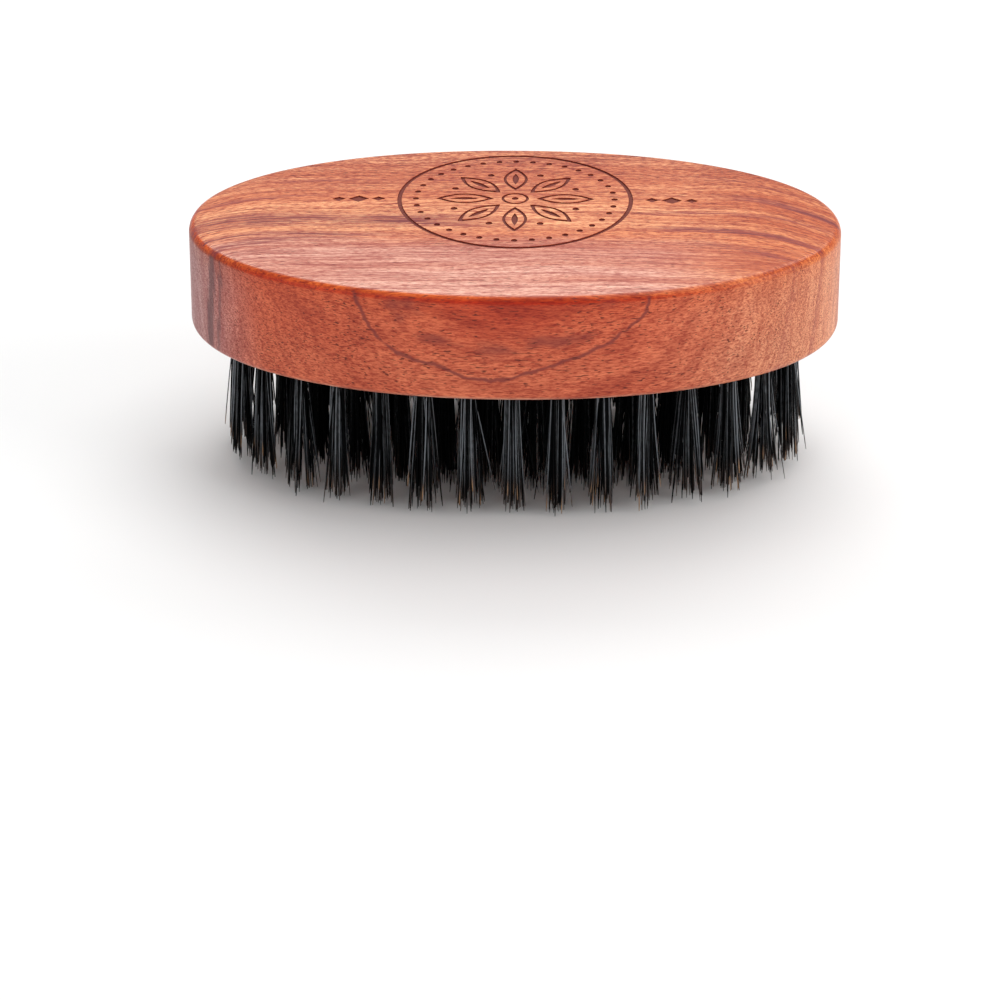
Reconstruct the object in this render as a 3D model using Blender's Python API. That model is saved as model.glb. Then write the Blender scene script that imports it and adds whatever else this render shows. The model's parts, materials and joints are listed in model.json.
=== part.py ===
"""Oval beard brush: one solid wooden block with tufts of bristle set in blind holes.

The brush stands on its bristle tips. The origin is at the centre of the tip plane, +X runs
along the length, +Y across the width and +Z up through the block. All lengths are in metres.
"""

import math

import bmesh
import bpy

# Wooden block: an oval whose wall leans in slightly from the bristle face to the back. The
# thickness is up to the rim of the back, and the back is crowned above its rim.
BLOCK_LENGTH = 0.1110
BLOCK_WIDTH = 0.0622
BLOCK_THICKNESS = 0.0189
CROWN_HEIGHT = 0.0008
WALL_LEAN = 0.0003
OVAL_EXPONENT = 2.1
BACK_EDGE_RADIUS = 0.0016
FACE_EDGE_RADIUS = 0.0017
OUTLINE_POINTS = 96
EDGE_STEPS = 4
CROWN_STEPS = 4

# Bristles: the free length is what stands out of the block.
FREE_LENGTH = 0.0245
ROOT_RADIUS = 0.0012
WAIST_RADIUS = 0.0015
TIP_RADIUS = 0.0022
OUTER_LEAN = 0.0010
TUFT_SIDES = 10

# Blind holes, a little wider than the tufts that fill them.
HOLE_RADIUS = 0.0015
HOLE_DEPTH = 0.0100
CLEARANCE = 0.0003

# Two rings of tufts, from the wall inwards, and three straight rows along the middle.
OUTER_INSET = 0.0079
LINE_SPACING = 0.0076
OUTER_COUNT = 31
MIDDLE_COUNT = 24
ROW_PITCH = 0.0074
SIDE_ROW_COUNT = 7
CENTRE_ROW_COUNT = 9
ROW_SPREAD = 0.0039

FACE_Z = FREE_LENGTH
RIM_Z = FREE_LENGTH + BLOCK_THICKNESS

WOOD = ("oiled_wood", (0.46, 0.13, 0.055), 0.42, 0.0)
BRISTLE = ("black_bristle", (0.012, 0.013, 0.015), 0.35, 0.0)


def clear_scene():
    for obj in list(bpy.data.objects):
        bpy.data.objects.remove(obj, do_unlink=True)


def make_material(name, colour, roughness, metallic):
    material = bpy.data.materials.new(name)
    material.use_nodes = True
    shader = material.node_tree.nodes["Principled BSDF"]
    shader.inputs["Base Color"].default_value = (*colour, 1.0)
    shader.inputs["Roughness"].default_value = roughness
    shader.inputs["Metallic"].default_value = metallic
    material.diffuse_color = (*colour, 1.0)
    return material


def make_object(name, bm, material, helper=False):
    """An object of the finished bmesh; a helper only shapes other objects."""
    bmesh.ops.recalc_face_normals(bm, faces=bm.faces)
    mesh = bpy.data.meshes.new(name)
    bm.to_mesh(mesh)
    bm.free()
    mesh.shade_smooth()
    mesh.set_sharp_from_angle(angle=math.radians(35))
    mesh.materials.append(material)
    obj = bpy.data.objects.new(name, mesh)
    bpy.context.scene.collection.objects.link(obj)
    if helper:
        obj.hide_render = True
        obj.display_type = "WIRE"
    return obj


def add_boolean(target, other, operation):
    modifier = target.modifiers.new(operation.lower(), "BOOLEAN")
    modifier.operation = operation
    modifier.solver = "EXACT"
    modifier.object = other


def oval_point(half_length, half_width, angle):
    """A point on the oval, which is an ellipse with slightly fuller shoulders."""
    power = 2 / OVAL_EXPONENT
    across, along = math.sin(angle), math.cos(angle)
    return (
        half_length * math.copysign(abs(along) ** power, along),
        half_width * math.copysign(abs(across) ** power, across),
    )


def add_loop(bm, points, z):
    return [bm.verts.new((x, y, z)) for x, y in points]


def loft(bm, loops):
    """Closes a stack of equal loops into one solid with flat ends."""
    for lower, upper in zip(loops, loops[1:]):
        for i in range(len(lower)):
            j = (i + 1) % len(lower)
            bm.faces.new((lower[i], lower[j], upper[j], upper[i]))
    bm.faces.new(loops[0])
    bm.faces.new(loops[-1])


def block_sections():
    """(inset from the widest outline, height) of each section, from face to back."""
    sections = []
    for step in range(EDGE_STEPS + 1):
        turn = math.radians(90) * step / EDGE_STEPS
        sections.append(
            (
                FACE_EDGE_RADIUS * (1 - math.sin(turn)),
                FACE_Z + FACE_EDGE_RADIUS * (1 - math.cos(turn)),
            )
        )
    for step in range(EDGE_STEPS + 1):
        turn = math.radians(90) * step / EDGE_STEPS
        sections.append(
            (
                WALL_LEAN + BACK_EDGE_RADIUS * (1 - math.cos(turn)),
                RIM_Z - BACK_EDGE_RADIUS * (1 - math.sin(turn)),
            )
        )
    return sections


def crown_sections():
    """(share of the rim's size, height) of each section of the crown, from rim to middle."""
    shares = [1 - step / (CROWN_STEPS + 1) for step in range(1, CROWN_STEPS + 1)]
    return [(share, RIM_Z + CROWN_HEIGHT * (1 - share**2)) for share in shares]


def make_block(material):
    bm = bmesh.new()
    angles = [math.tau * i / OUTLINE_POINTS for i in range(OUTLINE_POINTS)]
    loops = []
    for inset, z in block_sections():
        half_length, half_width = BLOCK_LENGTH / 2 - inset, BLOCK_WIDTH / 2 - inset
        loops.append(add_loop(bm, [oval_point(half_length, half_width, a) for a in angles], z))
    for share, z in crown_sections():
        rim = [oval_point(half_length * share, half_width * share, a) for a in angles]
        loops.append(add_loop(bm, rim, z))
    loft(bm, loops)
    return make_object("brush_block", bm, material)


def ring_places(inset, count, first_share):
    """Even places round an oval ring, as (x, y, direction along the ring).

    The ring starts at the middle of the front, at -Y, and turns towards +X. first_share is
    how far the first place is from there, as a share of the pitch.
    """
    samples = 2000
    half_length, half_width = BLOCK_LENGTH / 2 - inset, BLOCK_WIDTH / 2 - inset
    points = [
        oval_point(half_length, half_width, math.tau * i / samples - math.tau / 4)
        for i in range(samples + 1)
    ]
    travelled = [0.0]
    for start, end in zip(points, points[1:]):
        travelled.append(travelled[-1] + math.dist(start, end))
    places = []
    index = 0
    for k in range(count):
        wanted = travelled[-1] * (k + first_share) / count
        while travelled[index + 1] < wanted:
            index += 1
        start, end = points[index], points[index + 1]
        share = (wanted - travelled[index]) / (travelled[index + 1] - travelled[index])
        x = start[0] + share * (end[0] - start[0])
        y = start[1] + share * (end[1] - start[1])
        places.append((x, y, math.atan2(end[1] - start[1], end[0] - start[0])))
    return places


def row_places(y, count):
    """Even places along a straight row, centred on the block."""
    first = -ROW_PITCH * (count - 1) / 2
    return [(first + ROW_PITCH * k, y, 0.0) for k in range(count)]


def tuft_mesh(place, lean=0.0, spread_before=TIP_RADIUS, spread_after=TIP_RADIUS):
    """One tuft: parallel in its hole, then fanning out to flat-trimmed tips.

    lean moves the tips outwards from the ring. The two spreads are how far the tips fan
    along the ring, on the side of the tuft before this one and of the tuft after it.
    """
    x, y, heading = place
    along = (math.cos(heading), math.sin(heading))
    outwards = (along[1], -along[0])
    sections = (
        (0.0, lean, spread_before, spread_after, TIP_RADIUS),
        (FREE_LENGTH / 2, lean / 2, WAIST_RADIUS, WAIST_RADIUS, WAIST_RADIUS),
        (FACE_Z, 0.0, ROOT_RADIUS, ROOT_RADIUS, ROOT_RADIUS),
        (FACE_Z + HOLE_DEPTH - CLEARANCE, 0.0, ROOT_RADIUS, ROOT_RADIUS, ROOT_RADIUS),
    )
    bm = bmesh.new()
    loops = []
    for z, shift, before, after, across in sections:
        points = []
        for i in range(TUFT_SIDES):
            angle = math.tau * i / TUFT_SIDES
            u = math.cos(angle) * (after if math.cos(angle) > 0 else before)
            v = math.sin(angle) * across + shift
            points.append((x + u * along[0] + v * outwards[0], y + u * along[1] + v * outwards[1]))
        loops.append(add_loop(bm, points, z))
    loft(bm, loops)
    return bm


def make_single_tufts(prefix, places, lean, material):
    for number, place in enumerate(places, 1):
        make_object(f"{prefix}_{number:02d}", tuft_mesh(place, lean), material)


def make_tuft_row(name, places, material):
    """A straight row of tufts whose fanned tips run into each other, as one solid."""
    last = len(places) - 1
    meshes = [
        tuft_mesh(
            place,
            spread_before=ROW_SPREAD if i > 0 else TIP_RADIUS,
            spread_after=ROW_SPREAD if i < last else TIP_RADIUS,
        )
        for i, place in enumerate(places)
    ]
    joined = make_object(name, meshes[0], material)
    for number, bm in enumerate(meshes[1:], 2):
        neighbour = make_object(f"{name}_part_{number}", bm, material, helper=True)
        add_boolean(joined, neighbour, "UNION")


def make_hole_cutter(places, material):
    """Every blind hole's drill, standing through the bristle face."""
    bm = bmesh.new()
    for x, y, heading in places:
        points = []
        for i in range(TUFT_SIDES):
            angle = heading + math.tau * i / TUFT_SIDES
            points.append((x + HOLE_RADIUS * math.cos(angle), y + HOLE_RADIUS * math.sin(angle)))
        loft(bm, [add_loop(bm, points, z) for z in (FACE_Z - HOLE_RADIUS, FACE_Z + HOLE_DEPTH)])
    return make_object("hole_drills", bm, material, helper=True)


def build():
    clear_scene()
    wood = make_material(*WOOD)
    bristle = make_material(*BRISTLE)

    outer = ring_places(OUTER_INSET, OUTER_COUNT, 0.0)
    middle = ring_places(OUTER_INSET + LINE_SPACING, MIDDLE_COUNT, 0.5)
    rows = {
        "front_tuft_row": row_places(-LINE_SPACING, SIDE_ROW_COUNT),
        "centre_tuft_row": row_places(0.0, CENTRE_ROW_COUNT),
        "back_tuft_row": row_places(LINE_SPACING, SIDE_ROW_COUNT),
    }

    block = make_block(wood)
    drilled = outer + middle + [place for row in rows.values() for place in row]
    add_boolean(block, make_hole_cutter(drilled, wood), "DIFFERENCE")

    make_single_tufts("outer_tuft", outer, OUTER_LEAN, bristle)
    make_single_tufts("middle_tuft", middle, 0.0, bristle)
    for name, places in rows.items():
        make_tuft_row(name, places, bristle)


build()
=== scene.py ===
"""Looks of the oval beard brush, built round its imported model.

The block gets a finely rounded body, drilled holes and a burnt-in ornament. Every tuft gets
its own bundle of bristles, pinned in its hole by a flat steel anchor. Lengths are in metres,
except in the wood's pattern, which is worked out in millimetres.
"""

import json
import math
import random

import bmesh
import bpy
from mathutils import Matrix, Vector

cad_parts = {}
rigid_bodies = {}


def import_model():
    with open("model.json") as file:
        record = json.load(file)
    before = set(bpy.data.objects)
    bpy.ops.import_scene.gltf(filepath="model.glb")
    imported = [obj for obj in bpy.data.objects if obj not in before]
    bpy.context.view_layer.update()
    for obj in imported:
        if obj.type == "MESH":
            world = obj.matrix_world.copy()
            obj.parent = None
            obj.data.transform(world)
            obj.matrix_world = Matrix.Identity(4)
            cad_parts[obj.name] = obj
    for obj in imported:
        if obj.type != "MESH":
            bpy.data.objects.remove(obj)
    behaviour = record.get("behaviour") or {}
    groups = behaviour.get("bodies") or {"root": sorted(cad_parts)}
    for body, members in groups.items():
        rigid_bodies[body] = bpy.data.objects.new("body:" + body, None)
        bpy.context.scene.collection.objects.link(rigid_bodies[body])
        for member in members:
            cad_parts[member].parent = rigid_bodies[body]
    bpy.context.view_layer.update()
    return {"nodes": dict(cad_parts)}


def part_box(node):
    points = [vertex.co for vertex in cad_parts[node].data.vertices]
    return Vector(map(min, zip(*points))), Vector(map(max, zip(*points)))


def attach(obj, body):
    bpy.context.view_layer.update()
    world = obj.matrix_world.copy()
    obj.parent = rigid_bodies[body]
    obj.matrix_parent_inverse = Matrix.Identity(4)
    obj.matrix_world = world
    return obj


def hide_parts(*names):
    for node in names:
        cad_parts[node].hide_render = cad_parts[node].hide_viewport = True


# Block: the CAD block gives its length, width and heights.
OVAL_EXPONENT = 2.1
BACK_EDGE_RADIUS = 0.0016
FACE_EDGE_RADIUS = 0.0017
WALL_LEAN = 0.0003
CROWN_HEIGHT = 0.0008
OUTLINE_POINTS = 256
EDGE_STEPS = 10
CROWN_STEPS = 12
HOLE_RADIUS = 0.0014
HOLE_DEPTH = 0.0100
HOLE_SIDES = 20
DRILL_LEAD = 0.002
SHARP_DEGREES = 35

# Ornament burnt into the back: a ring, a circle of beads, a rosette and rows of lozenges.
ORNAMENT_Y = 0.0069
BURN_DEPTH = 0.00025
CUTTER_LIFT = 0.003
RING_RADIUS = 0.0198
RING_WIDTH = 0.00075
RING_SIDES = 160
BEAD_COUNT = 36
BEAD_CIRCLE = 0.0170
BEAD_RADIUS = 0.00055
BEAD_SIDES = 12
PETAL_COUNT = 8
# Start, end and half width of a petal and of the spot inside it.
PETAL = (0.0036, 0.0136, 0.0021)
PETAL_CORE = (0.0062, 0.0112, 0.00055)
PETAL_LINE = 0.0005
PETAL_TRIM = 0.0011
PETAL_STEPS = 12
PETAL_POINT = 0.9
SEED_CIRCLE = 0.0112
SEED_RADIUS = 0.0006
SEED_SIDES = 14
EYE_RADIUS = 0.0021
EYE_SIDES = 32
# Distance from the middle, half length and half width.
LOZENGES = ((0.0234, 0.0012, 0.0009), (0.0268, 0.0018, 0.0014), (0.0302, 0.0012, 0.0009))

# Bristles. A tuft is packed in its hole, and fans out to its tips, more densely in the middle.
STRANDS = 74
STRAND_RADIUS = 0.00012
STRAND_VARIETY = (0.75, 1.2)
STRAND_SIDES = 4
ROOT_RADIUS = 0.0012
# Share of the root's radius by which a strand leaves its place.
ROOT_JITTER = 0.03
SEATED_DEPTH = 0.0085
SEATED_SHARE = 0.8
FAN_RADIUS = 0.0027
FAN_VARIETY = (0.88, 1.22)
FAN_CROWDING = 1.35
# Painted shade: tufts inside the outer ring keep only this share of their tone, so they are
# darker.
INNER_TONE_IN_SHADE = 0.62

# Strands lean towards the clump they are in, and all of them bow a little.
CLUMPS = 9
CLUMP_PULL = (0.35, 0.85)
CLUMP_BOW = 0.0002
STRAND_BOW = 0.0003
FAN_BOW = 0.04

# Heights of the tips above the plane the brush stands on, and how far they stray sideways.
SHORT_SHARE = 0.62
SHORT_TIPS = (0.0022, 0.0052)
LONG_TIPS = (0.0001, 0.0022)
TIP_JITTER = 0.00028
STRAY_SHARE = 0.08
STRAY_REACH = 0.0026

# Places along a strand from the block's face to its tip, and its thickness there.
STRAND_RUN = (0.0, 0.16, 0.34, 0.52, 0.70, 0.86, 0.95, 1.0)
STRAND_TAPER = (1.0, 1.0, 1.0, 0.98, 0.95, 0.90, 0.80, 0.50)
SEATED_TAPER = 0.9

# CAD points this close in height belong to the same flat end of a tuft.
SAME_HEIGHT = 1e-5

# Anchors: short lengths of flat wire across the bottom of each hole.
ANCHOR_LENGTH = 0.0033
ANCHOR_HEIGHT = 0.0016
ANCHOR_THICKNESS = 0.00035
ANCHOR_EDGE = 0.00005

# Camera and room.
CAMERA_PLACE = (0.00452, -0.46525, 0.25311)
CAMERA_PITCH = 29.612
CAMERA_HEADING = 0.864
CAMERA_LENS = 108.05
FLOOR_HALF_SIZE = 2.5
ROOM_COLOUR = (0.97, 0.98, 1.0, 1)
ROOM_STRENGTH = 0.52
LIGHTS_AIM = (0.0, 0.0, 0.035)

# Softboxes: name, place, width and height, radiance.
LIGHTS = (
    ("overhead_softbox", (0.15, 0.20, 1.05), (1.0, 0.7), 2.3),
    ("back_softbox", (0.0, 0.68, 0.775), (1.4, 0.37), 2.4),
    ("right_softbox", (0.85, -0.28, 0.42), (0.5, 0.6), 3.6),
    ("left_softbox", (-0.70, -0.70, 0.50), (0.45, 0.4), 2.2),
)


def clear_scene():
    for obj in list(bpy.data.objects):
        bpy.data.objects.remove(obj, do_unlink=True)


def link(name, data):
    obj = bpy.data.objects.new(name, data)
    bpy.context.scene.collection.objects.link(obj)
    return obj


# ---------------------------------------------------------------------------- node trees


class Nodes:
    """Adds nodes to a material or world. A value may be a number, a colour or a socket."""

    def __init__(self, owner):
        owner.use_nodes = True
        self.tree = owner.node_tree

    def add(self, kind, inputs=None, **settings):
        node = self.tree.nodes.new("ShaderNode" + kind)
        for name, value in settings.items():
            setattr(node, name, value)
        for key, value in (inputs or {}).items():
            self.feed(node.inputs[key], value)
        return node

    def feed(self, socket, value):
        if isinstance(value, bpy.types.NodeSocket):
            self.tree.links.new(value, socket)
        else:
            socket.default_value = value

    def math(self, operation, a, b=0.0):
        return self.add("Math", {0: a, 1: b}, operation=operation).outputs[0]

    def total(self, *values):
        result = values[0]
        for value in values[1:]:
            result = self.math("ADD", result, value)
        return result

    def product(self, *values):
        result = values[0]
        for value in values[1:]:
            result = self.math("MULTIPLY", result, value)
        return result

    def join(self, x, y, z):
        return self.add("CombineXYZ", {0: x, 1: y, 2: z}).outputs[0]

    def noise(self, vector, detail=2.0, roughness=0.5):
        """Smooth noise round 0.5, one cell to a unit of the vector."""
        inputs = {"Vector": vector, "Scale": 1.0, "Detail": detail, "Roughness": roughness}
        return self.add("TexNoise", inputs).outputs[0]

    def grain(self, spot, shifts, scales, detail, roughness=0.5):
        """Noise at a spot, shifted and scaled by its own amount in each direction."""
        parts = [self.scaled(*part) for part in zip(spot, shifts, scales)]
        return self.noise(self.join(*parts), detail, roughness)

    def ease(self, value, low, high, start=0.0, end=1.0):
        """Start at low, end at high, with a smooth step between."""
        inputs = {
            "Value": value,
            "From Min": low,
            "From Max": high,
            "To Min": start,
            "To Max": end,
        }
        return self.add("MapRange", inputs, interpolation_type="SMOOTHSTEP").outputs[0]

    def mix(self, share, a, b, blend="MIX"):
        node = self.add("Mix", {0: share, 6: a, 7: b}, data_type="RGBA", blend_type=blend)
        return node.outputs[2]

    def tint(self, share, colour, factor):
        """A share of the colour is multiplied by the factor."""
        return self.mix(share, colour, self.mix(1.0, colour, factor, "MULTIPLY"))

    def curve(self, value, points, low, high):
        """A smooth curve through (value, result) points, both between low and high."""
        span = high - low
        node = self.add("FloatCurve", {"Value": self.scaled(value, -low, 1 / span)})
        line = node.mapping.curves[0]
        while len(line.points) < len(points):
            line.points.new(0.5, 0.5)
        for point, (x, y) in zip(line.points, points):
            point.location = ((x - low) / span, (y - low) / span)
        node.mapping.update()
        return self.total(self.product(node.outputs[0], span), low)

    def scaled(self, value, shift, factor):
        """(value + shift) * factor"""
        return self.product(self.total(value, shift), factor)


def new_material(name):
    material = bpy.data.materials.new(name)
    nodes = Nodes(material)
    return material, nodes, nodes.tree.nodes["Principled BSDF"]


# --------------------------------------------------------------------------------- wood

WOOD_LIGHT = (0.760, 0.305, 0.148, 1)
WOOD_MID = (0.610, 0.178, 0.076, 1)
WOOD_RED = (0.390, 0.074, 0.034, 1)
WOOD_DARK = (0.185, 0.028, 0.026, 1)
WOOD_VEIN = (0.265, 0.040, 0.042, 1)
WOOD_GREY = (0.120, 0.048, 0.052, 1)
PORE = (0.110, 0.020, 0.013, 1)
BURNT = (0.165, 0.034, 0.024, 1)

# Tints, which multiply the wood's colour. Apart from the brown right end and the cup's heart, they
# are wholly or partly painted sheen, light or shade.
PAINTED_SHEEN_STRIP = (0.91, 1.08, 1.66, 1)
BROWN_END = (0.83, 0.63, 0.53, 1)
SIDE_DEPTH_AND_SHADE = (0.75, 0.380, 0.335, 1)
SIDE_RIGHT_PAINTED_LIGHT = (0.90, 1.00, 1.10, 1)
SIDE_LEFT_PAINTED_SHEEN = (0.57, 0.74, 1.42, 1)
EDGE_SHADE_LEFT = (0.90, 0.345, 0.09, 1)
EDGE_SHADE_RIGHT = (0.98, 0.78, 0.52, 1)
SHADE_BELOW_EDGE = (0.97, 0.84, 0.74, 1)
SIDE_FOOT_BOUNCE_LIGHT = (1.0, 1.12, 1.18, 1)
CUP_HEART = (0.80, 0.42, 0.34, 1)

MILLIMETRES = 1000.0
# How far a growth layer moves towards +Y with each millimetre of height.
LAYER_TILT = 0.213
# Half length and half width of the crown.
CROWN_SPAN = (53.6, 29.2)
# Curves of the wood's pattern run from -SPAN to SPAN in both directions.
SPAN = 60.0
# A vein that starts or ends within EDGE of the middle fades out there.
EDGE = 50.0

# Dark veins: points (x, y) along the back, half width, strength.
VEINS = (
    (((-56, -7), (-51, -3.0), (-46, -1.4), (-38, -1.4), (-22, -2.0), (0, -2.2)), 2.40, 0.92),
    (((-56, 1.5), (-52, 4.4), (-47, 6.8), (-41, 8.2), (-34, 8.8), (-28, 9.0)), 0.40, 0.70),
    (((-55, -13), (-51, -9.6), (-46, -7.6), (-39, -7.0), (-30, -7.4), (-16, -8.0)), 0.80, 0.92),
    (((-54, -17), (-50, -13.2), (-45, -10.4), (-39, -9.2), (-32, -9.0), (-20, -10.0)), 1.05, 0.85),
    (((-46, 14.4), (-38, 15.2), (-30, 15.4), (-20, 15.0), (-10, 15.0), (0, 15.0)), 0.35, 0.55),
    (((16, 1.0), (26, 1.8), (36, 2.0), (43, 1.0), (48, -1.0), (54, -5.5)), 0.40, 0.60),
    (((34, 8.6), (40, 8.4), (44, 7.0), (48, 4.4), (51, 1.9), (56, -3.0)), 0.95, 1.00),
    (((18, -4.6), (28, -4.8), (37, -5.2), (42, -6.2), (47, -8.6), (54, -14)), 0.66, 0.90),
    (((24, -9.2), (30, -10.0), (36, -11.6), (41, -13.4), (46, -16.6), (52, -22)), 0.95, 0.55),
    (((22, 18.6), (28, 18.4), (34, 17.4), (40, 15.6), (44, 13.4), (50, 8.6)), 0.30, 0.45),
)

# The dark cup on the front side: (x, z) along its floor, (z, x) up its two walls.
CUP_FLOOR = (
    (-23, 36.5),
    (-20.8, 34.2),
    (-16.7, 32.1),
    (-11, 30.6),
    (-8, 29.2),
    (-4, 28.7),
    (0, 29.1),
    (4.5, 30.6),
    (12.5, 33.5),
    (15.8, 35.2),
    (20, 38.6),
)
CUP_LEFT = ((32, -17.0), (34.2, -20.8), (36.9, -23.2), (40, -24.7), (43.2, -25.9), (48, -27.5))
CUP_RIGHT = ((34, 13.5), (35.2, 15.8), (37.6, 19.0), (40.1, 21.3), (42.7, 21.9), (48, 20.0))
CUP_WOBBLE = 1.9

# Upright streaks on the left end: x, half width of the core and of the whole, strength.
STRIPES = ((-50.6, 0.25, 0.9, 0.75), (-49.0, 0.1, 0.5, 0.55))


def growth_layers(n, x, y, z, tilt):
    """The growth layers stand nearly upright along the block, and bend round at both ends."""
    left = n.math("MAXIMUM", n.scaled(x, 40.0, -1 / 14.0), 0.0)
    right = n.math("MAXIMUM", n.scaled(x, -36.0, 1 / 17.0), 0.0)
    left_bend = n.product(n.math("POWER", left, 2.0), 5.0)
    right_bend = n.product(n.math("POWER", right, 2.0), 7.5)
    sway = n.grain((x, y, z), (0, 0, 0), (0.022, 0.05, 0.05), 2.0)
    return n.total(y, left_bend, right_bend, n.scaled(sway, -0.5, 5.0), tilt)


def vein_share(n, x, across, streak, thread):
    """Where the dark veins of the back run. They go down through the block with the layers."""
    ragged = n.total(n.scaled(streak, -0.5, 2.0), n.scaled(thread, -0.5, 1.6))
    vein = 0.0
    for points, half_width, strength in VEINS:
        centre = n.curve(x, points, -SPAN, SPAN)
        away = n.math("ABSOLUTE", n.total(n.math("SUBTRACT", across, centre), ragged))
        share = n.ease(away, 0.25 * half_width, 1.6 * half_width + 0.15, strength, 0.0)
        first, last = points[0][0], points[-1][0]
        if first > -EDGE:
            share = n.product(share, n.ease(x, first, first + 10))
        if last < EDGE:
            share = n.product(share, n.ease(x, last, last - 14))
        vein = n.math("MAXIMUM", vein, share)
    return n.product(vein, n.ease(thread, 0.34, 0.60, 0.30, 1.0))


def cup_line(n, x, z, wobble, fibre):
    """Where the thin dark line of the cup runs, in three joined lengths."""
    floor = n.math("SUBTRACT", z, n.curve(x, CUP_FLOOR, -SPAN, SPAN))
    left = n.math("SUBTRACT", x, n.curve(z, CUP_LEFT, -SPAN, SPAN))
    right = n.math("SUBTRACT", x, n.curve(z, CUP_RIGHT, -SPAN, SPAN))
    lengths = (
        (floor, n.product(n.ease(x, -21.5, -20.0), n.ease(x, 18.5, 17.0))),
        (left, n.product(n.ease(z, 33.8, 35.4), n.ease(x, -10.0, -14.0))),
        (right, n.product(n.ease(z, 36.2, 37.6), n.ease(x, 8.0, 12.0))),
    )
    line = 0.0
    for away, on in lengths:
        away = n.math("ABSOLUTE", n.total(away, n.scaled(wobble, -0.5, CUP_WOBBLE)))
        line = n.math("MAXIMUM", line, n.product(n.ease(away, 0.10, 0.56, 1.0, 0.0), on))
    return n.product(line, n.ease(fibre, 0.25, 0.6, 0.50, 0.85))


def cup_depth(n, x, z, wobble):
    """0 in the middle of the cup's mouth, growing outwards."""
    across = n.math("POWER", n.math("ABSOLUTE", n.scaled(x, 2.0, 1 / 24.0)), 2.0)
    fall = n.math("MAXIMUM", n.scaled(z, -45.4, -1 / 16.6), 0.0)
    return n.total(across, n.math("POWER", fall, 2.0), n.scaled(wobble, -0.5, 0.4))


def stripe_share(n, x, z, streak):
    """Nearly upright streaks on the left end."""
    along = n.total(x, n.scaled(z, -34.0, -0.06), n.scaled(streak, -0.5, 1.6))
    stripe = 0.0
    for middle, core, whole, strength in STRIPES:
        away = n.math("ABSOLUTE", n.math("SUBTRACT", along, middle))
        stripe = n.math("MAXIMUM", stripe, n.ease(away, core, whole, strength, 0.0))
    return stripe


def burnt_share(n, x, y, z, top, ornament_y):
    """The ornament is scorched wherever the surface lies below the crown."""
    reach = n.join(n.scaled(x, 0, 1 / 34.0), n.scaled(y, -ornament_y, 1 / 20.5), 0.0)
    reach = n.add("VectorMath", {0: reach}, operation="LENGTH").outputs["Value"]
    u = n.math("POWER", n.scaled(x, 0, 1 / CROWN_SPAN[0]), 2.0)
    v = n.math("POWER", n.scaled(y, 0, 1 / CROWN_SPAN[1]), 2.0)
    skin = n.total(n.scaled(n.total(u, v), 0.0, -CROWN_HEIGHT * MILLIMETRES), top)
    depth = n.math("SUBTRACT", skin, z)
    burnt = n.product(n.ease(depth, 0.06, 0.14), n.ease(depth, 1.0, 0.8))
    return n.product(burnt, n.ease(reach, 1.02, 1.0))


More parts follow.
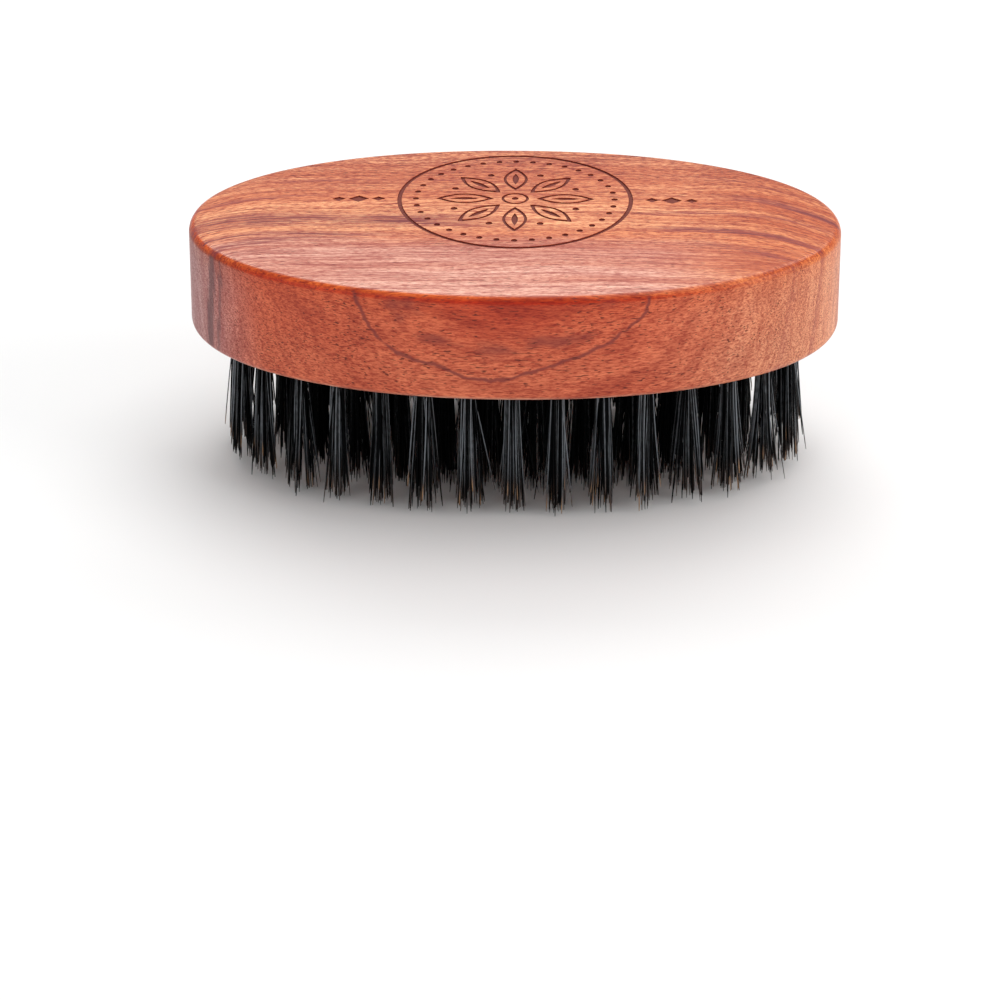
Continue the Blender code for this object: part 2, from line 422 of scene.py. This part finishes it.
def wood_material(back_z, ornament_y):
    material, n, shader = new_material("oiled_hardwood")
    place = n.add("TexCoord").outputs["Object"]
    place = n.add("VectorMath", {0: place, "Scale": MILLIMETRES}, operation="SCALE").outputs[0]
    x, y, z = n.add("SeparateXYZ", {0: place}).outputs
    top = back_z * MILLIMETRES
    normal = n.add("NewGeometry").outputs["Normal"]
    upright = n.math("ABSOLUTE", n.add("SeparateXYZ", {0: normal}).outputs[2])
    side = n.ease(upright, 0.95, 0.30)
    back = n.math("SUBTRACT", 1.0, side)
    front = n.ease(y, -12.0, -20.0)

    # Broad bands, narrower streaks and fibres, all drawn out along the grain, and pores:
    # short dark dashes, in crowds.
    tilt = n.scaled(z, -top, -LAYER_TILT)
    layer = growth_layers(n, x, y, z, tilt)
    spot = (x, layer, z)
    band = n.grain(spot, (7, 0, 0), (0.012, 0.20, 0.03), 3.0)
    streak = n.grain(spot, (31, 0, 3), (0.032, 1.35, 0.14), 3.0)
    thread = n.grain(spot, (11, 0, 0), (0.110, 2.3, 1.6), 3.0, 0.6)
    fibre = n.grain(spot, (5, 9, 0), (0.75, 3.3, 4.4), 2.0, 0.7)
    mottle = n.grain(spot, (2, 1, 8), (0.085, 0.30, 0.21), 2.0)
    crowd = n.grain(spot, (3, 3, 0), (0.05, 0.30, 0.10), 1.0)
    dash = n.grain(spot, (0, 0, 0), (0.75, 4.6, 4.6), 0.0)
    limit = n.ease(crowd, 0.35, 0.70, 0.74, 0.655)
    pore = n.ease(n.math("SUBTRACT", dash, limit), 0.0, 0.06)

    # The wood is redder along its streaks, threads and clouds, and flecked by its fibres.
    banded = n.product(n.ease(band, 0.36, 0.62), n.ease(side, 0.0, 1.0, 1.0, 0.55))
    broad = n.ease(side, 0.0, 1.0, 0.74, 0.38)
    colour = n.mix(banded, WOOD_LIGHT, WOOD_MID)
    colour = n.mix(n.product(n.ease(streak, 0.46, 0.68), broad), colour, WOOD_RED)
    colour = n.mix(n.product(n.ease(thread, 0.47, 0.68), broad), colour, WOOD_RED)
    colour = n.mix(n.product(n.ease(mottle, 0.48, 0.70, 0.0, 0.28), side), colour, WOOD_RED)
    contrast = n.ease(side, 0.0, 1.0, n.ease(layer, -16.0, -6.0, 2.6, 3.7), 3.1)
    fleck_and_sheen = n.product(n.math("SUBTRACT", fibre, 0.5), contrast)
    # Painted sheen: the wood is also painted lighter towards the front and darker towards the
    # rear.
    fleck_and_sheen = n.total(fleck_and_sheen, n.scaled(thread, -0.5, -0.6), n.ease(y, 24.0, 4.0, 0.74, 1.11))
    fleck_and_sheen = n.math("MINIMUM", n.math("MAXIMUM", fleck_and_sheen, 0.15), 1.45)
    red = n.product(n.math("POWER", fleck_and_sheen, 0.65), 1.05)
    rest = n.product(n.math("POWER", fleck_and_sheen, 1.30), n.ease(side, 0.0, 1.0, 1.0, 0.93))
    colour = n.tint(1.0, colour, n.join(red, rest, rest))

    # The back has a paler, pinker strip along its front, a painted sheen where its crown tilts
    # towards the light, and is browner to its right end.
    sheen_strip = n.ease(n.total(layer, n.scaled(band, -0.5, 8.0)), -4.5, -13.5)
    sheen_strip = n.product(sheen_strip, n.ease(x, 42.0, 20.0), back)
    colour = n.tint(sheen_strip, colour, PAINTED_SHEEN_STRIP)
    colour = n.tint(n.product(n.ease(x, 26.0, 46.0), back), colour, BROWN_END)

    # The side is deeper and redder than the back, partly its own colour and partly painted shade,
    # as less light falls on it. Towards its right end it is painted lighter, as light from the
    # right, and towards its left end greyer and bluer, as a painted grazing reflection. The
    # rounded edge of the back is the most orange, painted shade where the sheen stops.
    side_tint = n.mix(n.ease(x, 16.0, 58.0), SIDE_DEPTH_AND_SHADE, SIDE_RIGHT_PAINTED_LIGHT)
    side_tint = n.mix(n.ease(x, -40.0, -54.5), side_tint, SIDE_LEFT_PAINTED_SHEEN)
    colour = n.tint(side, colour, side_tint)
    # Painted shade: the rounded edge of the back is deepened to orange-red where the sheen stops,
    # less so towards the right end.
    edge = n.product(n.ease(upright, 0.98, 0.85), n.ease(upright, 0.05, 0.45))
    edge = n.product(edge, n.ease(z, top - 6.0, top - 5.0))
    colour = n.tint(edge, colour, n.mix(n.ease(x, 5.0, 50.0), EDGE_SHADE_LEFT, EDGE_SHADE_RIGHT))
    # Painted shade: the upper part of the side, just below the rounded edge, is darker and more
    # saturated.
    colour = n.tint(n.product(n.ease(z, top - 6.5, top - 2.0), side), colour, SHADE_BELOW_EDGE)
    # Painted bounce light: the foot of the front side is lighter and less red.
    colour = n.tint(n.product(n.ease(z, 36.0, 29.0), front), colour, SIDE_FOOT_BOUNCE_LIGHT)

    # The long front side has a thin dark line in the shape of a cup, with clouds in it.
    wobble = n.noise(n.join(n.scaled(x, 0, 0.35), 0.0, n.scaled(z, 0, 0.45)), 3.0)
    cup = cup_depth(n, x, z, wobble)
    heart = n.product(n.ease(cup, 0.45, 0.05, 0.0, 0.75), front, side)
    clouds = n.ease(n.math("ABSOLUTE", n.math("SUBTRACT", cup, 0.50)), 0.02, 0.26, 0.55, 0.0)
    clouds = n.product(clouds, n.ease(mottle, 0.44, 0.62))
    line = n.math("MAXIMUM", cup_line(n, x, z, wobble, fibre), clouds)
    line = n.product(line, front, n.ease(z, top - 0.9, top - 2.0))
    colour = n.tint(heart, colour, CUP_HEART)

    vein = vein_share(n, x, n.total(y, tilt), streak, thread)
    vein = n.product(vein, n.ease(side, 0.2, 1.0, 1.0, 0.45))
    colour = n.mix(vein, colour, WOOD_VEIN)
    colour = n.mix(n.ease(vein, 0.62, 0.95, 0.0, 0.70), colour, WOOD_DARK)
    colour = n.mix(line, colour, WOOD_DARK)
    stripe = n.product(stripe_share(n, x, z, streak), n.ease(y, -9.0, -13.0), side)
    colour = n.mix(n.product(stripe, n.ease(upright, 0.6, 0.3)), colour, WOOD_GREY)
    colour = n.mix(n.product(pore, n.ease(side, 0.0, 1.0, 0.55, 0.85)), colour, PORE)

    burnt = burnt_share(n, x, y, z, top, ornament_y * MILLIMETRES)
    char = n.mix(n.ease(fibre, 0.3, 0.7, 0.0, 0.35), BURNT, WOOD_DARK)
    colour = n.mix(n.product(burnt, 0.95), colour, char)

    rough = n.total(n.scaled(thread, -0.5, 0.16), n.product(pore, 0.25), n.product(burnt, 0.45))
    rough = n.total(rough, n.ease(side, 0.0, 1.0, 0.28, 0.44))
    height = n.total(n.product(fibre, 0.7), n.product(pore, -1.0), n.product(thread, 0.4))
    bump = n.add("Bump", {"Height": height, "Strength": 0.35, "Distance": 0.00004})

    n.feed(shader.inputs["Base Color"], colour)
    n.feed(shader.inputs["Roughness"], rough)
    n.feed(shader.inputs["Normal"], bump.outputs[0])
    n.feed(shader.inputs["IOR"], 1.45)
    n.feed(shader.inputs["Specular IOR Level"], 0.32)
    return material


# ------------------------------------------------------------------ bristles, wire, floor

BRISTLE_BLACK = (0.0020, 0.0023, 0.0028, 1)
BRISTLE_HIGHLIGHT_GREY = (0.150, 0.168, 0.188, 1)
BRISTLE_BROWN = (0.060, 0.026, 0.012, 1)
BRISTLE_TAN = (0.36, 0.20, 0.10, 1)
STEEL_DARK = (0.50, 0.49, 0.46, 1)
STEEL_LIGHT = (0.66, 0.65, 0.62, 1)
FLOOR_DARK = (0.86, 0.86, 0.85, 1)
FLOOR_LIGHT = (0.90, 0.90, 0.89, 1)


def bristle_material():
    """Each strand has its own tone: most are black, and some carry a painted blue-grey highlight,
    with brown or tan tips. All are painted darker towards their tips as shade.
    """
    material, n, shader = new_material("black_boar_bristle")
    tone = n.add("Attribute", attribute_name="strand_tone").outputs["Fac"]
    run = n.add("Attribute", attribute_name="strand_run").outputs["Fac"]
    place = n.add("TexCoord").outputs["Object"]
    patch = n.add("VectorMath", {0: place, "Scale": 900.0}, operation="SCALE")
    patch = n.noise(patch.outputs[0])
    # Painted highlight: strands of high tone are painted blue-grey.
    highlight_share = n.ease(n.total(tone, n.scaled(patch, -0.5, 0.4)), 0.48, 1.05)
    colour = n.mix(highlight_share, BRISTLE_BLACK, BRISTLE_HIGHLIGHT_GREY)
    # Painted shade: strands turn black towards their tips.
    colour = n.mix(n.ease(run, 0.55, 0.95, 0.0, 0.65), colour, BRISTLE_BLACK)
    tip = n.product(n.ease(run, 0.74, 0.98), n.ease(tone, 0.30, 0.75))
    colour = n.mix(n.product(tip, 0.60), colour, BRISTLE_BROWN)
    pale_tip = n.product(n.ease(run, 0.84, 0.96), n.ease(tone, 0.87, 0.94))
    pale = n.math("MAXIMUM", pale_tip, n.ease(tone, 0.994, 0.997, 0.0, 0.5))
    colour = n.mix(pale, colour, BRISTLE_TAN)
    n.feed(shader.inputs["Base Color"], colour)
    n.feed(shader.inputs["Roughness"], 0.26)
    n.feed(shader.inputs["IOR"], 1.55)
    n.feed(shader.inputs["Specular IOR Level"], n.ease(tone, 0.35, 0.95, 0.02, 0.62))
    return material


def steel_material():
    material, n, shader = new_material("flat_wire_steel")
    place = n.add("TexCoord").outputs["Object"]
    stretched = n.add("VectorMath", {0: place, 1: (900, 9000, 9000)}, operation="MULTIPLY")
    drawn = n.noise(stretched.outputs[0])
    n.feed(shader.inputs["Base Color"], n.mix(drawn, STEEL_DARK, STEEL_LIGHT))
    n.feed(shader.inputs["Metallic"], 1.0)
    n.feed(shader.inputs["Roughness"], 0.38)
    return material


def floor_material():
    material, n, shader = new_material("pale_floor")
    place = n.add("TexCoord").outputs["Object"]
    speck = n.add("VectorMath", {0: place, "Scale": 6.0}, operation="SCALE")
    speck = n.noise(speck.outputs[0])
    n.feed(shader.inputs["Base Color"], n.mix(speck, FLOOR_DARK, FLOOR_LIGHT))
    n.feed(shader.inputs["Roughness"], 0.75)
    return material


# --------------------------------------------------------------------------------- block


def oval_point(half_length, half_width, angle):
    power = 2 / OVAL_EXPONENT
    across, along = math.sin(angle), math.cos(angle)
    return (
        half_length * math.copysign(abs(along) ** power, along),
        half_width * math.copysign(abs(across) ** power, across),
    )


def loft(bm, loops):
    """Closes a stack of equal loops of points into one solid with flat ends."""
    rings = [[bm.verts.new(point) for point in loop] for loop in loops]
    for lower, upper in zip(rings, rings[1:]):
        for i in range(len(lower)):
            j = (i + 1) % len(lower)
            bm.faces.new((lower[i], lower[j], upper[j], upper[i]))
    bm.faces.new(rings[0])
    bm.faces.new(rings[-1])


def prism(bm, outline, bottom, top):
    """An upright solid on an outline of (x, y) points."""
    loft(bm, [[(x, y, z) for x, y in outline] for z in (bottom, top)])


def circle(x, y, radius, sides):
    angles = [math.tau * i / sides for i in range(sides)]
    return [(x + radius * math.cos(a), y + radius * math.sin(a)) for a in angles]


def mesh_object(name, bm, material=None):
    bmesh.ops.recalc_face_normals(bm, faces=bm.faces)
    mesh = bpy.data.meshes.new(name)
    bm.to_mesh(mesh)
    bm.free()
    mesh.shade_smooth()
    mesh.set_sharp_from_angle(angle=math.radians(SHARP_DEGREES))
    if material:
        mesh.materials.append(material)
    return link(name, mesh)


def block_loops(low, high):
    """The block's sections from its bristle face to the middle of its crowned back."""
    rim_z = high.z - CROWN_HEIGHT
    sections = []
    for step in range(EDGE_STEPS + 1):
        turn = math.radians(90) * step / EDGE_STEPS
        inset = FACE_EDGE_RADIUS * (1 - math.sin(turn))
        sections.append((inset, low.z + FACE_EDGE_RADIUS * (1 - math.cos(turn))))
    for step in range(EDGE_STEPS + 1):
        turn = math.radians(90) * step / EDGE_STEPS
        inset = WALL_LEAN + BACK_EDGE_RADIUS * (1 - math.cos(turn))
        sections.append((inset, rim_z - BACK_EDGE_RADIUS * (1 - math.sin(turn))))
    angles = [math.tau * i / OUTLINE_POINTS for i in range(OUTLINE_POINTS)]
    loops = []
    for inset, z in sections:
        loops.append([(*oval_point(high.x - inset, high.y - inset, a), z) for a in angles])
    inset = WALL_LEAN + BACK_EDGE_RADIUS
    for step in range(1, CROWN_STEPS):
        share = 1 - step / CROWN_STEPS
        z = rim_z + CROWN_HEIGHT * (1 - share**2)
        size = (share * (high.x - inset), share * (high.y - inset))
        loops.append([(*oval_point(*size, a), z) for a in angles])
    return loops


def petal(angle, start, end, half_width):
    """A pointed leaf in the direction of angle, between two distances from the middle."""
    side = []
    for i in range(PETAL_STEPS + 1):
        share = i / PETAL_STEPS
        along = start + (end - start) * share
        side.append((along, half_width * math.sin(math.pi * share) ** PETAL_POINT))
    outline = side + [(along, -across) for along, across in side[-2:0:-1]]
    c, s = math.cos(angle), math.sin(angle)
    points = [(along * c - across * s, along * s + across * c) for along, across in outline]
    return [(x, ORNAMENT_Y + y) for x, y in points]


def crown_z(high, x, y):
    """Height of the crowned back above a point."""
    inset = WALL_LEAN + BACK_EDGE_RADIUS
    share = (x / (high.x - inset)) ** 2 + (y / (high.y - inset)) ** 2
    return high.z - CROWN_HEIGHT * share


def ornament_cutter(high):
    """Everything that is burnt into the back, as solids that reach down into it."""
    bm = bmesh.new()
    cutter_top = high.z + CUTTER_LIFT

    def stamp(outline):
        x = sum(p[0] for p in outline) / len(outline)
        y = sum(p[1] for p in outline) / len(outline)
        prism(bm, outline, crown_z(high, x, y) - BURN_DEPTH, cutter_top)

    def groove(outer, inner):
        """A line between two outlines with as many points."""
        loops = []
        for outline in (inner, outer):
            floor = [(x, y, crown_z(high, x, y) - BURN_DEPTH) for x, y in outline]
            loops.append([bm.verts.new(point) for point in floor])
            loops.append([bm.verts.new((x, y, cutter_top)) for x, y in outline])
        for low, other in ((0, 2), (1, 3), (0, 1), (2, 3)):
            for i in range(len(outer)):
                j = (i + 1) % len(outer)
                bm.faces.new((loops[low][i], loops[low][j], loops[other][j], loops[other][i]))

    def ringed(radius, width, sides):
        groove(
            circle(0.0, ORNAMENT_Y, radius + width / 2, sides),
            circle(0.0, ORNAMENT_Y, radius - width / 2, sides),
        )

    ringed(RING_RADIUS, RING_WIDTH, RING_SIDES)
    ringed(EYE_RADIUS, PETAL_LINE, EYE_SIDES)
    stamp(circle(0.0, ORNAMENT_Y, SEED_RADIUS, SEED_SIDES))
    for i in range(BEAD_COUNT):
        a = math.tau * i / BEAD_COUNT
        x, y = BEAD_CIRCLE * math.cos(a), ORNAMENT_Y + BEAD_CIRCLE * math.sin(a)
        stamp(circle(x, y, BEAD_RADIUS, BEAD_SIDES))
    start, end, half_width = PETAL
    for i in range(PETAL_COUNT):
        a = math.tau * i / PETAL_COUNT
        groove(
            petal(a, start, end, half_width),
            petal(a, start + PETAL_TRIM, end - PETAL_TRIM, half_width - PETAL_LINE),
        )
        stamp(petal(a, *PETAL_CORE))
        a += math.pi / PETAL_COUNT
        x, y = SEED_CIRCLE * math.cos(a), ORNAMENT_Y + SEED_CIRCLE * math.sin(a)
        stamp(circle(x, y, SEED_RADIUS, SEED_SIDES))
    for side in (-1, 1):
        for x, half_length, half_width in LOZENGES:
            c = side * x
            stamp(
                [
                    (c - half_length, ORNAMENT_Y),
                    (c, ORNAMENT_Y - half_width),
                    (c + half_length, ORNAMENT_Y),
                    (c, ORNAMENT_Y + half_width),
                ]
            )
    return mesh_object("ornament_cutter", bm)


def hole_cutter(low, roots):
    bm = bmesh.new()
    for root in roots:
        outline = circle(root.x, root.y, HOLE_RADIUS, HOLE_SIDES)
        prism(bm, outline, low.z - DRILL_LEAD, low.z + HOLE_DEPTH)
    return mesh_object("hole_cutter", bm)


def cut(target, cutter):
    """Cuts one mesh out of another and keeps the result."""
    modifier = target.modifiers.new("cut", "BOOLEAN")
    modifier.operation = "DIFFERENCE"
    modifier.solver = "EXACT"
    modifier.object = cutter
    bpy.context.view_layer.update()
    evaluated = target.evaluated_get(bpy.context.evaluated_depsgraph_get())
    mesh = bpy.data.meshes.new_from_object(evaluated)
    target.modifiers.clear()
    target.data = mesh
    bpy.data.objects.remove(cutter, do_unlink=True)


def make_block(roots):
    low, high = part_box("brush_block")
    bm = bmesh.new()
    loft(bm, block_loops(low, high))
    block = mesh_object("oval_block", bm, wood_material(high.z, ORNAMENT_Y))
    cut(block, hole_cutter(low, roots))
    cut(block, ornament_cutter(high))
    block.data.shade_smooth()
    block.data.set_sharp_from_angle(angle=math.radians(SHARP_DEGREES))
    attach(block, "root")
    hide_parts("brush_block")


# -------------------------------------------------------------------------------- tufts


def end_centres(node, at_root):
    """Centres of the round flat ends of a CAD node's tufts, at their roots or at their tips."""
    points = [v.co.copy() for v in node.data.vertices]
    height = (max if at_root else min)(p.z for p in points)
    ends = sorted((p for p in points if abs(p.z - height) < SAME_HEIGHT), key=lambda p: p.x)
    groups = [[ends[0]]]
    for before, point in zip(ends, ends[1:]):
        if point.x - before.x > 2 * HOLE_RADIUS:
            groups.append([])
        groups[-1].append(point)
    centres = []
    for group in groups:
        low = [min(p[axis] for p in group) for axis in range(3)]
        high = [max(p[axis] for p in group) for axis in range(3)]
        centres.append((Vector(low) + Vector(high)) / 2)
    return centres


def disc_point(rng):
    radius = math.sqrt(rng.random())
    angle = rng.uniform(0, math.tau)
    return Vector((radius * math.cos(angle), radius * math.sin(angle)))


def scatter(rng, spread):
    return Vector((rng.gauss(0, spread), rng.gauss(0, spread)))


def strand_path(rng, face_z, root, lean, seat, clump, fan):
    """Points of one strand, from its anchor to its tip."""
    tip = seat.lerp(clump["seat"], clump["pull"])
    tip *= fan * tip.length ** (FAN_CROWDING - 1)
    if rng.random() < STRAY_SHARE:
        tip += disc_point(rng) * STRAY_REACH
    tip += scatter(rng, TIP_JITTER)
    short = rng.random() < SHORT_SHARE
    tip_z = rng.uniform(*(SHORT_TIPS if short else LONG_TIPS))
    start = seat * ROOT_RADIUS
    bow = clump["bow"] - (tip - start) * FAN_BOW + disc_point(rng) * rng.uniform(0, STRAND_BOW)
    seated = start * SEATED_SHARE
    points = [(root.x + seated.x, root.y + seated.y, face_z + SEATED_DEPTH)]
    for t in STRAND_RUN:
        side = start + (tip - start + lean) * t + bow * math.sin(math.pi * t)
        points.append((root.x + side.x, root.y + side.y, face_z + (tip_z - face_z) * t))
    return points


def add_strand(verts, faces, runs, points, radius, turn):
    """A closed tapering tube along the points."""
    base = len(verts)
    tapers = (SEATED_TAPER,) + STRAND_TAPER
    for k, (x, y, z) in enumerate(points):
        for i in range(STRAND_SIDES):
            a = turn + math.tau * i / STRAND_SIDES
            r = radius * tapers[k]
            verts.append((x + r * math.cos(a), y + r * math.sin(a), z))
            runs.append(0.0 if k == 0 else STRAND_RUN[k - 1])
    for k in range(len(points) - 1):
        for i in range(STRAND_SIDES):
            j = (i + 1) % STRAND_SIDES
            a, b = base + k * STRAND_SIDES, base + (k + 1) * STRAND_SIDES
            faces.append((a + i, b + i, b + j, a + j))
    faces.append(tuple(base + i for i in range(STRAND_SIDES)))
    last = base + (len(points) - 1) * STRAND_SIDES
    faces.append(tuple(last + i for i in reversed(range(STRAND_SIDES))))


def make_bristles(name, node, root, lean, material, seed):
    """One tuft's strands. Their roots follow a sunflower's spiral."""
    rng = random.Random(seed)
    # Painted shade: inner tufts get lower tones, so they are darker.
    tone_in_shade = 1.0 if node.startswith("outer") else INNER_TONE_IN_SHADE
    face_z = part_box("brush_block")[0].z
    fan = FAN_RADIUS * rng.uniform(*FAN_VARIETY)
    clumps = []
    for _ in range(CLUMPS):
        bow = disc_point(rng) * CLUMP_BOW
        clumps.append({"seat": disc_point(rng), "bow": bow, "pull": rng.uniform(*CLUMP_PULL)})
    verts, faces, runs, tones = [], [], [], []
    golden = math.pi * (3 - math.sqrt(5))
    for i in range(STRANDS):
        radius, angle = math.sqrt((i + 0.5) / STRANDS), i * golden
        seat = Vector((radius * math.cos(angle), radius * math.sin(angle)))
        seat += scatter(rng, ROOT_JITTER)
        clump = min(clumps, key=lambda c: (c["seat"] - seat).length)
        points = strand_path(rng, face_z, root, lean, seat, clump, fan)
        before = len(verts)
        width = STRAND_RADIUS * rng.uniform(*STRAND_VARIETY)
        add_strand(verts, faces, runs, points, width, rng.uniform(0, math.tau))
        tones += [rng.random() * tone_in_shade] * (len(verts) - before)
    mesh = bpy.data.meshes.new(name)
    mesh.from_pydata(verts, [], faces)
    for attribute, values in (("strand_tone", tones), ("strand_run", runs)):
        mesh.attributes.new(attribute, "FLOAT", "POINT").data.foreach_set("value", values)
    mesh.shade_smooth()
    mesh.materials.append(material)
    bristles = link(name, mesh)
    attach(bristles, "root")
    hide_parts(node)


def make_tufts(tufts):
    material = bristle_material()
    for seed, (name, node, root, lean) in enumerate(tufts):
        make_bristles(name, node, root, lean, material, seed + 1)


def find_tufts(frame):
    """(piece name, CAD node, root, sideways lean of the tip) for every tuft."""
    tufts = []
    for node in sorted(frame["nodes"]):
        if "tuft" not in node:
            continue
        roots = end_centres(frame["nodes"][node], True)
        if len(roots) == 1:
            lean = end_centres(frame["nodes"][node], False)[0] - roots[0]
            tufts.append((node.replace("tuft", "bristles"), node, roots[0], lean.to_2d()))
            continue
        for number, root in enumerate(roots, 1):
            name = f"{node.replace('tuft_row', 'row_bristles')}_{number:02d}"
            tufts.append((name, node, root, Vector((0.0, 0.0))))
    return tufts


def make_anchors(tufts):
    face_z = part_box("brush_block")[0].z
    bm = bmesh.new()
    for _, _, root, _ in tufts:
        made = bmesh.ops.create_cube(bm, size=1.0)["verts"]
        size = (ANCHOR_LENGTH, ANCHOR_THICKNESS, ANCHOR_HEIGHT)
        bmesh.ops.scale(bm, vec=size, verts=made)
        middle = (root.x, root.y, face_z + SEATED_DEPTH - ANCHOR_HEIGHT / 2)
        bmesh.ops.translate(bm, vec=middle, verts=made)
    bmesh.ops.bevel(bm, geom=bm.edges[:], offset=ANCHOR_EDGE, segments=2, affect="EDGES")
    anchors = mesh_object("tuft_anchors", bm, steel_material())
    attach(anchors, "root")


# --------------------------------------------------------------------------------- room


def make_camera():
    camera = bpy.data.cameras.new("camera")
    camera.lens = CAMERA_LENS
    obj = link("camera", camera)
    obj.location = CAMERA_PLACE
    obj.rotation_euler = (math.radians(90 - CAMERA_PITCH), 0, math.radians(CAMERA_HEADING))
    bpy.context.scene.camera = obj


def soft_light(name, place, size, radiance):
    """A rectangular softbox at place that faces the brush."""
    light = bpy.data.lights.new(name, "AREA")
    light.shape = "RECTANGLE"
    light.size, light.size_y = size
    light.energy = radiance * math.pi * size[0] * size[1]
    obj = link(name, light)
    obj.location = place
    obj.rotation_euler = (Vector(place) - Vector(LIGHTS_AIM)).to_track_quat("Z", "Y").to_euler()


def make_room():
    bm = bmesh.new()
    bmesh.ops.create_grid(bm, x_segments=1, y_segments=1, size=FLOOR_HALF_SIZE)
    mesh_object("floor", bm, floor_material())

    world = bpy.data.worlds.new("pale_room")
    nodes = Nodes(world)
    background = nodes.tree.nodes["Background"]
    nodes.feed(background.inputs["Color"], ROOM_COLOUR)
    nodes.feed(background.inputs["Strength"], ROOM_STRENGTH)
    bpy.context.scene.world = world

    for light in LIGHTS:
        soft_light(*light)
    bpy.context.scene.view_settings.view_transform = "Standard"


def build():
    clear_scene()
    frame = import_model()
    make_camera()
    make_room()
    tufts = find_tufts(frame)
    make_block([root for _, _, root, _ in tufts])
    make_tufts(tufts)
    make_anchors(tufts)


build()
